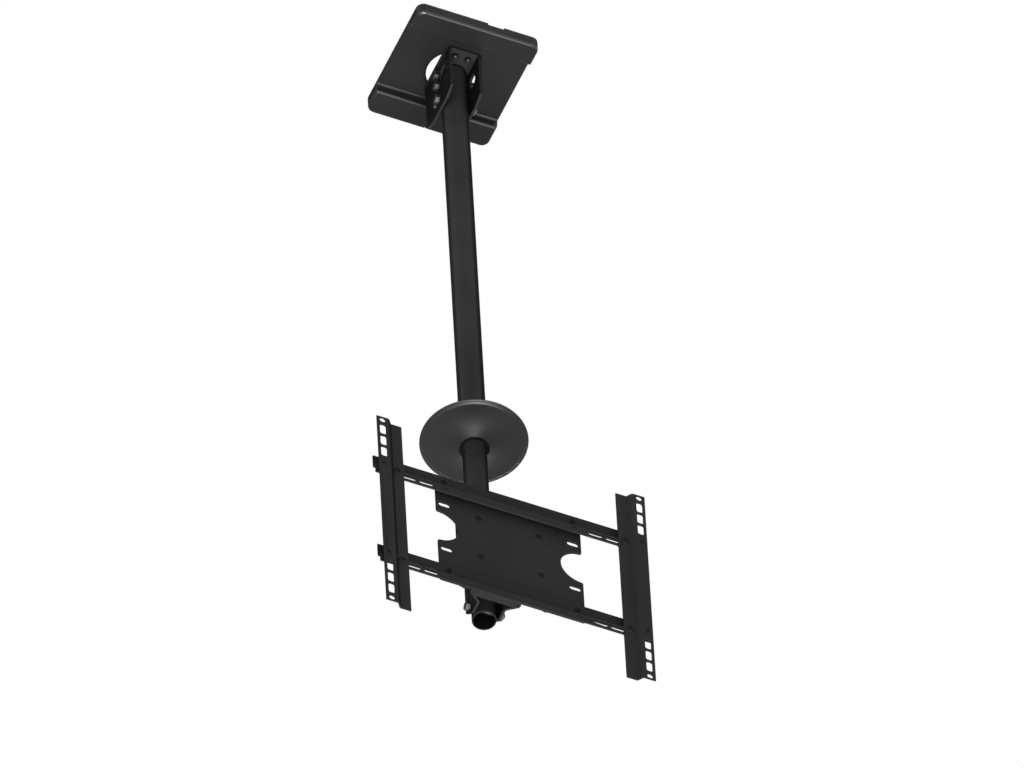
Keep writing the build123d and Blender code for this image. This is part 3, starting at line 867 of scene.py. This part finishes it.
STEEL = Finish(
    "black_powder_coat", Slot.STEEL, (0.0148, 0.0148, 0.0152),
    worn_and_highlight_colour=(0.050, 0.050, 0.052), roughness=0.58, specular=0.06,
)
TUBE = Finish(
    "black_tube_paint", Slot.STEEL, (0.0212, 0.0212, 0.0217),
    worn_and_highlight_colour=(0.055, 0.055, 0.057), roughness=0.50, specular=0.06, peel_scale=500.0,
    # Inside this radius the tube is painted near-black: painted shade.
    hollow=17.2 * MM,
)
BLACKED = Finish(
    "blacked_screw", Slot.FASTENER, (0.0090, 0.0090, 0.0092),
    worn_and_highlight_colour=(0.020, 0.020, 0.021), roughness=0.58, specular=0.06, peel_scale=1500.0,
    peel_depth=0.004, wear=0.3, wear_radius=0.3 * MM,
)
SPUN = Finish(
    "black_spun_steel", Slot.STEEL, (0.0042, 0.0042, 0.0043),
    worn_and_highlight_colour=(0.03, 0.03, 0.031), roughness=0.41, specular=0.33, peel_scale=900.0,
    wear_radius=0.5 * MM,
)
MOULDED = Finish(
    "black_moulded_plastic", Slot.PLASTIC, (0.0092, 0.0092, 0.0094),
    worn_and_highlight_colour=(0.060, 0.060, 0.062), roughness=0.28, specular=0.12, peel_scale=1400.0,
    # The coat on the front edges is a painted highlight.
    peel_depth=0.02, cloud_spread=0.10, wear=0.1, soften=5.5 * MM, edge_highlight_coat=1.0,
)
ZINC = Finish(
    "black_zinc", Slot.FASTENER, (0.055, 0.055, 0.058),
    worn_and_highlight_colour=(0.18, 0.18, 0.185), roughness=0.32, specular=0.5, metallic=0.85,
    peel_scale=1800.0, peel_depth=0.006, cloud_spread=0.25, wear=0.6, wear_radius=0.3 * MM,
)
SPRING = Finish(
    "blued_spring_steel", Slot.FASTENER, (0.045, 0.047, 0.055),
    worn_and_highlight_colour=(0.22, 0.22, 0.23), roughness=0.35, specular=0.4, metallic=0.7,
    peel_scale=1500.0, peel_depth=0.004, cloud_spread=0.3,
)
RUBBER = Finish(
    "soft_black_rubber", Slot.RUBBER, (0.005, 0.005, 0.005),
    worn_and_highlight_colour=(0.015, 0.015, 0.015), roughness=0.78, specular=0.08, peel_scale=2200.0,
    peel_depth=0.03, cloud_spread=0.12, wear=0.2,
)


# Sub-assemblies


@dataclass
class SubAssembly:
    """What every sub-assembly does with its pieces."""

    body: str

    def place(self, piece: Piece, finish: Finish, *nodes: str) -> None:
        """Paint a finished piece, put it on its body and let it stand for its nodes.

        Args:
            piece: The finished piece.
            finish: Its finish.
            nodes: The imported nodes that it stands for.
        """
        smooth(piece)
        apply_modifier(piece, "WEIGHTED_NORMAL", keep_sharp=True, weight=FLAT_WEIGHT)
        piece.data.materials.clear()
        piece.data.materials.append(finish.material())
        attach(piece, self.body)
        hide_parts(*nodes)
        log.info("%s rides on %s in %s", piece.name, self.body, finish.name)

    def skin(self, node: str, finish: Finish, edge: float, segments: int = 3) -> Piece:
        """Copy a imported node, break its edges and put the copy in its place.

        Args:
            node: The node's name.
            finish: The finish of the copy.
            edge: How wide the broken edges are.
            segments: How many faces go round them.

        Returns:
            The copy.
        """
        piece = bpy.data.objects.new(f"{node}_skin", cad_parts[node].data.copy())
        bpy.context.collection.objects.link(piece)
        take(piece)
        bpy.ops.object.mode_set(mode="EDIT")
        bpy.ops.mesh.select_all(action="SELECT")
        bpy.ops.mesh.remove_doubles(threshold=MERGE_REACH)
        bpy.ops.mesh.dissolve_limited(angle_limit=FLAT_ANGLE)
        bpy.ops.object.mode_set(mode="OBJECT")
        smooth(piece)
        apply_modifier(
            piece, "BEVEL", width=edge, segments=segments, limit_method="ANGLE",
            angle_limit=SMOOTH_ANGLE, use_clamp_overlap=False,
        )
        self.place(piece, finish, node)
        return piece

    def set_of(self, node: str, model: Piece, places: list[Matrix], finish: Finish = ZINC) -> Piece:
        """Copy one model to several places, as one piece that stands for a node.

        Args:
            node: The node's name.
            model: The model, which is used up.
            places: Where the copies go.
            finish: Their finish.

        Returns:
            The joined copies.
        """
        copies = [copy_at(model, place) for place in places]
        bpy.data.objects.remove(model)
        piece = join(f"{node}_modelled", copies)
        self.place(piece, finish, node)
        return piece

    def cross_bolts(self, name: str, reach: float, heights: tuple[float, ...]) -> None:
        """Model bolts that run along X through both sides, with washers and nuts.

        Args:
            name: How the three nodes' names begin.
            reach: How far from the pole's axis the washers sit.
            heights: The bolts' heights.
        """
        seat = reach + M8.washer_thick
        bolt = SHOP.screw(M8, Drive.HEX_HEAD, 2 * seat + M8.nut + NUT_MARGIN, 2 * seat - NUT_MARGIN)
        self.set_of(f"{name}_bolts", bolt, [stance((-seat, 0, z), RIGHT) for z in heights])
        washers = [stance((side * reach, 0, z), (side, 0, 0)) for z in heights for side in SIDES]
        self.set_of(f"{name}_washers", SHOP.washer(M8), washers)
        self.set_of(f"{name}_nuts", SHOP.nut(M8), [stance((seat, 0, z), RIGHT) for z in heights])


@dataclass
class CeilingFixing(SubAssembly):
    """The ceiling plate, the yoke that carries the pole, and their screws and clips."""

    body: str = "ceiling"
    screw_x: float = 10 * MM
    screw_y: float = 33 * MM
    web_foot: float = -7.5 * MM
    screw_length: float = 14.5 * MM
    ear: float = 25 * MM
    bolt_heights: tuple[float, ...] = (-26 * MM, -49 * MM, -79 * MM)
    earth_y: float = 13 * MM
    earth_z: float = -79 * MM
    earth_length: float = 6 * MM

    def build(self) -> None:
        """Dress the sheet parts and model the fasteners."""
        self.skin("ceiling_plate", STEEL, edge=0.4 * MM, segments=2)
        self.skin("pole_yoke", STEEL, edge=0.6 * MM)
        self.skin("cover_clips", SPRING, edge=0.12 * MM, segments=1)
        corners = [(side * self.screw_x, end * self.screw_y) for side in SIDES for end in SIDES]
        screw = SHOP.screw(M6, Drive.COUNTERSUNK, self.screw_length, plain=6 * MM)
        self.set_of("yoke_screws", screw, [stance((x, y, 0), DOWN) for x, y in corners])
        nuts = [stance((x, y, self.web_foot), DOWN) for x, y in corners]
        self.set_of("yoke_nuts", SHOP.nut(M6), nuts, BLACKED)
        self.cross_bolts("pole", self.ear, self.bolt_heights)
        earth = SHOP.screw(M5, Drive.BUTTON, self.earth_length, plain=0)
        place = stance((-self.ear, self.earth_y, self.earth_z), RIGHT)
        self.set_of("earth_screw", earth, [place])


@dataclass
class UpperPole(SubAssembly):
    """The upper pole and the locking collar at its foot."""

    body: str = "ceiling"
    lock_start: float = 18.3 * MM
    lock_length: float = 16 * MM
    lock_heights: Pair = (-859 * MM, -845 * MM)

    def build(self) -> None:
        """Dress the pole and the collar and model the lock screws."""
        self.skin("upper_pole", TUBE, edge=0.35 * MM, segments=2)
        self.skin("lock_collar", STEEL, edge=0.5 * MM, segments=2)
        grub = SHOP.screw(M6, Drive.GRUB, self.lock_length, plain=1 * MM)
        start = self.lock_start + self.lock_length
        places = [stance((0, start, z), (0, -1, 0)) for z in self.lock_heights]
        self.set_of("lock_screws", grub, places)


@dataclass
class CeilingCover(SubAssembly):
    """The moulded cover that slides up the pole over the fixing."""

    body: str = "cover"

    def build(self) -> None:
        """Dress the cover."""
        self.skin("ceiling_cover", MOULDED, edge=0.5 * MM)


@dataclass
class PoleRose(SubAssembly):
    """The spun rose over the pole joint and the rubber ring in its bore."""

    body: str = "rose"
    foot: float = -874 * MM
    rim_top: float = -857.3 * MM
    rim_foot: float = -861 * MM
    bore: float = 21.1 * MM
    radius: float = 79 * MM
    sheet: float = 1.5 * MM
    lip: float = 2.6 * MM
    lip_top: float = 0.65 * MM
    rolled: tuple[Pair, ...] = (
        (7.4 * MM, 0.0), (6.6 * MM, 0.12 * MM), (6.0 * MM, 0.36 * MM),
        (3.2 * MM, 1.60 * MM), (2.3 * MM, 2.20 * MM), (1.4 * MM, 2.75 * MM),
    )
    ring_bore: float = 18.1 * MM
    ring_lip: float = 1.2 * MM
    ring_lip_thick: float = 1.2 * MM
    ring_soft: float = 0.35 * MM

    def height(self, share: float) -> float:
        """The dish's underside at a share of the way from its bore to its rim."""
        return self.foot + (self.rim_foot - self.foot) * share * (2 - share)

    def dish(self) -> Piece:
        """Spin the dish with its rolled rim.

        Returns:
            The rose.
        """
        steps = 16
        parts = [step / steps for step in range(steps + 1)]
        reach = self.radius - self.rolled[0][0] - self.bore
        inner_reach = self.radius - self.lip - self.bore
        under = [(self.bore + reach * part, self.height(part)) for part in parts]
        over = [
            (self.bore + inner_reach * part, self.height(part) + self.sheet)
            for part in reversed(parts)
        ]
        top = self.lip_top
        crown = [
            (self.radius - top + top * math.cos(angle), self.rim_top - top + top * math.sin(angle))
            for angle in (math.radians(degrees) for degrees in range(0, 91, 30))
        ]
        crown += [(2 * self.radius - self.lip - reach, z) for reach, z in reversed(crown)]
        side = [(self.radius - inset, self.rim_foot + rise) for inset, rise in self.rolled[1:]]
        return turned("rose_dish", [*under, *side, *crown, *over, under[0]], steps=128)

    def ring(self) -> Piece:
        """Spin the rubber ring with its soft lip.

        Returns:
            The ring.
        """
        out, bore, soft = self.bore + self.ring_lip, self.ring_bore, self.ring_soft
        low = self.foot - self.ring_lip_thick
        top = self.foot + self.sheet + self.ring_lip_thick
        return turned("rose_ring_modelled", [
            (bore + soft, low), (out - soft, low), (out, low + soft), (out, self.foot - soft),
            (out - soft, self.foot), (self.bore, self.foot), (self.bore, top - soft),
            (self.bore - soft, top), (bore + soft, top), (bore, top - soft), (bore, low + soft),
            (bore + soft, low),
        ], steps=72)

    def build(self) -> None:
        """Model both pieces."""
        self.place(self.dish(), SPUN, "ceiling_rose")
        self.place(self.ring(), RUBBER, "rose_ring")


@dataclass
class PoleBracket(SubAssembly):
    """The lower pole, its clamping bracket, and the tilt yoke with its pivot."""

    body: str = "drop"
    clamp: float = 22.2 * MM
    clamp_heights: Pair = (-1241 * MM, -1191 * MM)
    pivot_y: float = -80 * MM
    pivot_z: float = -1200 * MM
    web_front: float = -52 * MM
    web_back: float = -44 * MM
    bolt_x: float = 18 * MM
    bolt_rise: float = 20 * MM
    rod_radius: float = 6 * MM
    rod_half: float = 73.5 * MM
    ring_radius: float = 9.5 * MM
    ring_thick: float = 1.2 * MM
    ring_gap: float = 5 * MM
    ear: float = 35 * MM
    spacer_length: float = 23.7 * MM
    cheek_outer: float = 71.3 * MM

    def build(self) -> None:
        """Dress the sheet parts and model the fasteners."""
        self.skin("lower_pole", TUBE, edge=0.45 * MM)
        self.skin("pole_bracket", STEEL, edge=0.8 * MM)
        self.skin("tilt_yoke", STEEL, edge=0.6 * MM)
        self.cross_bolts("clamp", self.clamp, self.clamp_heights)
        self.tilt_bolts()
        self.pivot()

    def tilt_bolts(self) -> None:
        """Model the four bolts that hold the tilt yoke on the bracket."""
        heights = [self.pivot_z + end * self.bolt_rise for end in SIDES]
        spots = [(side * self.bolt_x, z) for side in SIDES for z in heights]
        length = self.web_back - self.web_front + M8.nut + NUT_MARGIN
        bolt = SHOP.screw(M8, Drive.HEX_HEAD, length, plain=6 * MM)
        heads = [stance((x, self.web_front, z), BACK) for x, z in spots]
        self.set_of("tilt_yoke_bolts", bolt, heads)
        seats = [stance((x, self.web_back, z), BACK) for x, z in spots]
        self.set_of("tilt_yoke_nuts", SHOP.nut(M8), seats)

    def pivot(self) -> None:
        """Model the pivot rod with its spacers and retaining rings."""
        chamfer, end = 1 * MM, self.rod_half
        rod = turned("rod", [
            (0, -end), (self.rod_radius - chamfer, -end), (self.rod_radius, chamfer - end),
            (self.rod_radius, end - chamfer), (self.rod_radius - chamfer, end), (0, end),
        ])
        self.set_of("pivot_rod", rod, [stance((0, self.pivot_y, self.pivot_z), RIGHT)])
        inner, outer, soft = 6.05 * MM, 9.05 * MM, 0.4 * MM
        spacer = turned("spacer", [
            (inner, 0), (outer - soft, 0), (outer, soft), (outer, self.spacer_length - soft),
            (outer - soft, self.spacer_length), (inner, self.spacer_length), (inner, 0),
        ], FINE_STEPS)
        self.both_sides("pivot_spacers", spacer, self.ear)
        self.both_sides("pivot_rings", self.retaining_ring(), self.cheek_outer)

    def retaining_ring(self) -> Piece:
        """Model an open retaining ring that lies on the height 0.

        Returns:
            The ring.
        """
        inner, outer, thick, soft = self.rod_radius, self.ring_radius, self.ring_thick, 0.15 * MM
        ring = turned("ring", [
            (inner, 0), (outer - soft, 0), (outer, soft), (outer, thick - soft),
            (outer - soft, thick), (inner, thick), (inner, 0),
        ], FINE_STEPS)
        clear_selection()
        bpy.ops.mesh.primitive_cube_add(size=1, location=(outer, 0, thick / 2))
        gap = bpy.context.object
        gap.scale = (2 * (outer - inner) + inner, self.ring_gap, 2 * thick)
        settle(gap)
        combine(ring, gap, "DIFFERENCE")
        return ring

    def both_sides(self, node: str, model: Piece, reach: float) -> None:
        """Put a model on the rod at both sides, with its foot at the reach from the middle."""
        starts = [(side * reach, self.pivot_y, self.pivot_z) for side in SIDES]
        self.set_of(node, model, [stance(start, (side, 0, 0)) for start, side in zip(starts, SIDES)])


@dataclass
class ScreenHead(SubAssembly):
    """The tilting screen plate with its cheeks and two rails."""

    body: str = "head"
    front: float = -99 * MM
    back: float = -96 * MM
    rail_thick: float = 2.5 * MM
    cheek_thick: float = 2.5 * MM
    cheek_x: float = 47 * MM
    cheek_heights: Pair = (-1251 * MM, -1165 * MM)
    rail_x: float = 100 * MM
    lip_heights: Pair = (-1110 * MM, -1310 * MM)

    def build(self) -> None:
        """Dress the sheet parts and model the fasteners."""
        for side in Side:
            self.skin(f"{side.name.lower()}_cheek", STEEL, edge=0.4 * MM, segments=2)
        self.skin("interface_plate", STEEL, edge=0.5 * MM)
        self.skin("upper_rail", STEEL, edge=0.4 * MM)
        self.skin("lower_rail", STEEL, edge=0.4 * MM)
        self.cheek_screws()
        self.rail_screws()

    def cheek_screws(self) -> None:
        """Model the countersunk screws that hold the cheeks, with their nuts."""
        spots = [(side * self.cheek_x, z) for side in SIDES for z in self.cheek_heights]
        seat = self.back + self.cheek_thick
        screw = SHOP.screw(M6, Drive.COUNTERSUNK, seat - self.front + M6.nut + NUT_MARGIN, plain=4 * MM)
        places = [stance((x, self.front, z), BACK) for x, z in spots]
        self.set_of("cheek_screws", screw, places, BLACKED)
        self.set_of("cheek_nuts", SHOP.nut(M6), [stance((x, seat, z), BACK) for x, z in spots])

    def rail_screws(self) -> None:
        """Model the screws through the rails' lips, with their nuts."""
        spots = [(side * self.rail_x, z) for side in SIDES for z in self.lip_heights]
        seat = self.front - self.rail_thick
        screw = SHOP.screw(M5, Drive.BUTTON, self.back - seat + M5.nut + NUT_MARGIN / 2, plain=2 * MM)
        places = [stance((x, seat, z), BACK) for x, z in spots]
        self.set_of("lip_screws", screw, places, BLACKED)
        self.set_of("lip_nuts", SHOP.nut(M5), [stance((x, self.back, z), BACK) for x, z in spots])


@dataclass
class ScreenArm(SubAssembly):
    """One upright screen arm with its bolts, nuts and grub screws."""

    side: Side = Side.LEFT
    bolt_x: float = 177 * MM
    bolt_length: float = 11.3 * MM
    grub_x: float = 201 * MM
    heights: Pair = (-1132 * MM, -1332 * MM)
    flange_front: float = -111.5 * MM
    outer_front: float = -119.5 * MM
    grub_stand: float = 1.25 * MM
    grub_end: float = -109.3 * MM

    def build(self) -> None:
        """Dress the arm and model its fasteners."""
        name = f"{self.side.name.lower()}_arm"
        sign = self.side.value
        self.skin(name, STEEL, edge=0.4 * MM)
        bolt = SHOP.screw(M6, Drive.BUTTON, self.bolt_length, plain=3 * MM)
        seats = [stance((sign * self.bolt_x, self.flange_front, z), BACK) for z in self.heights]
        self.set_of(f"{name}_bolts", bolt, seats, BLACKED)
        self.skin(f"{name}_nuts", ZINC, edge=0.4 * MM, segments=2)
        start = self.outer_front - self.grub_stand
        grub = SHOP.screw(M5, Drive.GRUB, self.grub_end - start, plain=0.5 * MM)
        seats = [stance((sign * self.grub_x, start, z), BACK) for z in self.heights]
        self.set_of(f"{name}_grubs", grub, seats, BLACKED)


# Studio


@dataclass(frozen=True)
class StudioLamp:
    """A soft, distant lamp, named by where it stands."""

    name: str
    towards: Point
    share: float
    spread: float

    def hang(self) -> None:
        """Make the lamp. A share of 1 shows a colour as it is written."""
        data = bpy.data.lights.new(self.name, "SUN")
        data.energy = math.pi * self.share
        data.angle = math.radians(self.spread)
        data.cycles.use_multiple_importance_sampling = False
        lamp = bpy.data.objects.new(self.name, data)
        lamp.rotation_euler = Vector(self.towards).to_track_quat("Z", "Y").to_euler()
        bpy.context.collection.objects.link(lamp)


@dataclass(frozen=True)
class Studio:
    """The floor, the white surround and the lamps."""

    floor_height: float = -1.75
    floor_size: float = 16.0
    floor_near: float = 1.2
    floor_far: float = 4.5
    floor_colour: Point = (0.80, 0.80, 0.80)
    surround: float = 0.42
    lamps: tuple[StudioLamp, ...] = (
        StudioLamp("under_lamp", (-0.05, -0.20, -0.98), 1.80, 20.0),
        StudioLamp("front_lamp", (-0.70, -0.60, -0.40), 0.32, 50.0),
        StudioLamp("top_lamp", (0.10, 0.45, 0.89), 0.50, 50.0),
        StudioLamp("back_lamp", (0.45, 0.80, 0.40), 0.70, 50.0),
    )

    def build(self) -> None:
        """Make the whole studio."""
        self.floor()
        self.world()
        for lamp in self.lamps:
            lamp.hang()
            log.info("%s hung", lamp.name)

    def floor(self) -> None:
        """Lay a pale floor that keeps the shadow and can't be seen from below."""
        clear_selection()
        bpy.ops.mesh.primitive_plane_add(size=self.floor_size, location=(0, 0, self.floor_height))
        floor = bpy.context.object
        floor.name = "studio_floor"
        settle(floor)
        material = bpy.data.materials.new("pale_floor")
        material.use_nodes = True
        tree = material.node_tree
        shader = tree.nodes["Principled BSDF"]
        put(shader, {
            "Roughness": 0.9, "Specular IOR Level": 0.1, "Base Color": (*self.floor_colour, 1.0),
        })
        clear = tree.nodes.new("ShaderNodeBsdfTransparent")
        light_path = tree.nodes.new("ShaderNodeLightPath")
        below = tree.nodes.new("ShaderNodeNewGeometry").outputs["Backfacing"]
        hidden = maths(tree, "MAXIMUM", self.floor_fade(tree), below)
        seen = maths(tree, "MULTIPLY", light_path.outputs["Is Camera Ray"], hidden)
        open_to = maths(tree, "MAXIMUM", seen, light_path.outputs["Is Shadow Ray"])
        mix = tree.nodes.new("ShaderNodeMixShader")
        tree.links.new(open_to, mix.inputs["Fac"])
        tree.links.new(shader.outputs["BSDF"], mix.inputs[1])
        tree.links.new(clear.outputs["BSDF"], mix.inputs[2])
        tree.links.new(mix.outputs["Shader"], tree.nodes["Material Output"].inputs["Surface"])
        floor.data.materials.append(material)

    def floor_fade(self, tree: Tree) -> Socket:
        """How far the floor has faded into the white surround, from 0 near the mount to 1."""
        return smooth_step(tree, axis_distance(tree), self.floor_near, self.floor_far)

    def world(self) -> None:
        """Make the surround white to the eye and to reflections, and calmer as a light."""
        world = bpy.data.worlds.new("white_surround")
        bpy.context.scene.world = world
        world.use_nodes = True
        tree = world.node_tree
        background = tree.nodes["Background"]
        background.inputs["Color"].default_value = (1.0, 1.0, 1.0, 1.0)
        light_path = tree.nodes.new("ShaderNodeLightPath")
        seen: Socket | float = 0.0
        for ray in ("Is Camera Ray", "Is Glossy Ray", "Is Transmission Ray"):
            seen = maths(tree, "MAXIMUM", light_path.outputs[ray], seen)
        lift = maths(tree, "MULTIPLY", seen, 1 - self.surround)
        strength = maths(tree, "ADD", lift, self.surround)
        tree.links.new(strength, background.inputs["Strength"])


@dataclass(frozen=True)
class PhotoCamera:
    """A very long lens that stands over the cover's middle and looks up at the mount."""

    up: Point = (-0.2852, -0.7285, 0.6230)
    back: Point = (-0.2697, -0.5628, -0.7816)
    aim: Point = (0.2067, 0.2940, -0.2830)
    depth: float = 0.85
    distance: float = 48.97
    lens: float = 1200.0
    clip_end: float = 120.0

    def place(self) -> None:
        """Make the camera and use it."""
        data = bpy.data.cameras.new("photo_camera")
        data.lens = self.lens
        data.clip_end = self.clip_end
        camera = bpy.data.objects.new("photo_camera", data)
        spot = Vector(self.back) * (self.depth + self.distance)
        back = (spot - Vector(self.aim) - Vector(self.back) * self.depth).normalized()
        right = Vector(self.up).cross(back).normalized()
        turn = Matrix((right, back.cross(right), back)).transposed()
        camera.matrix_world = Matrix.Translation(spot) @ turn.to_4x4()
        bpy.context.collection.objects.link(camera)
        bpy.context.scene.camera = camera


# The whole mount


def main() -> None:
    """Build the studio and every sub-assembly, in order."""
    logging.basicConfig(level=logging.INFO, format="%(name)s: %(message)s")
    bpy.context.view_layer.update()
    bpy.context.scene.view_settings.view_transform = "Standard"
    for maker in (orange_peel_group, edge_wear_and_highlight_group, dust_group):
        log.info("shader group %s made", maker().name)
    PhotoCamera().place()
    Studio().build()
    assemblies: list[SubAssembly] = [
        CeilingFixing(),
        CeilingCover(),
        UpperPole(),
        PoleRose(),
        PoleBracket(),
        ScreenHead(),
        ScreenArm(body="arm_l", side=Side.LEFT),
        ScreenArm(body="arm_r", side=Side.RIGHT),
    ]
    for assembly in assemblies:
        assembly.build()
        log.info("%s built", type(assembly).__name__)


if __name__ == "__main__":
    main()
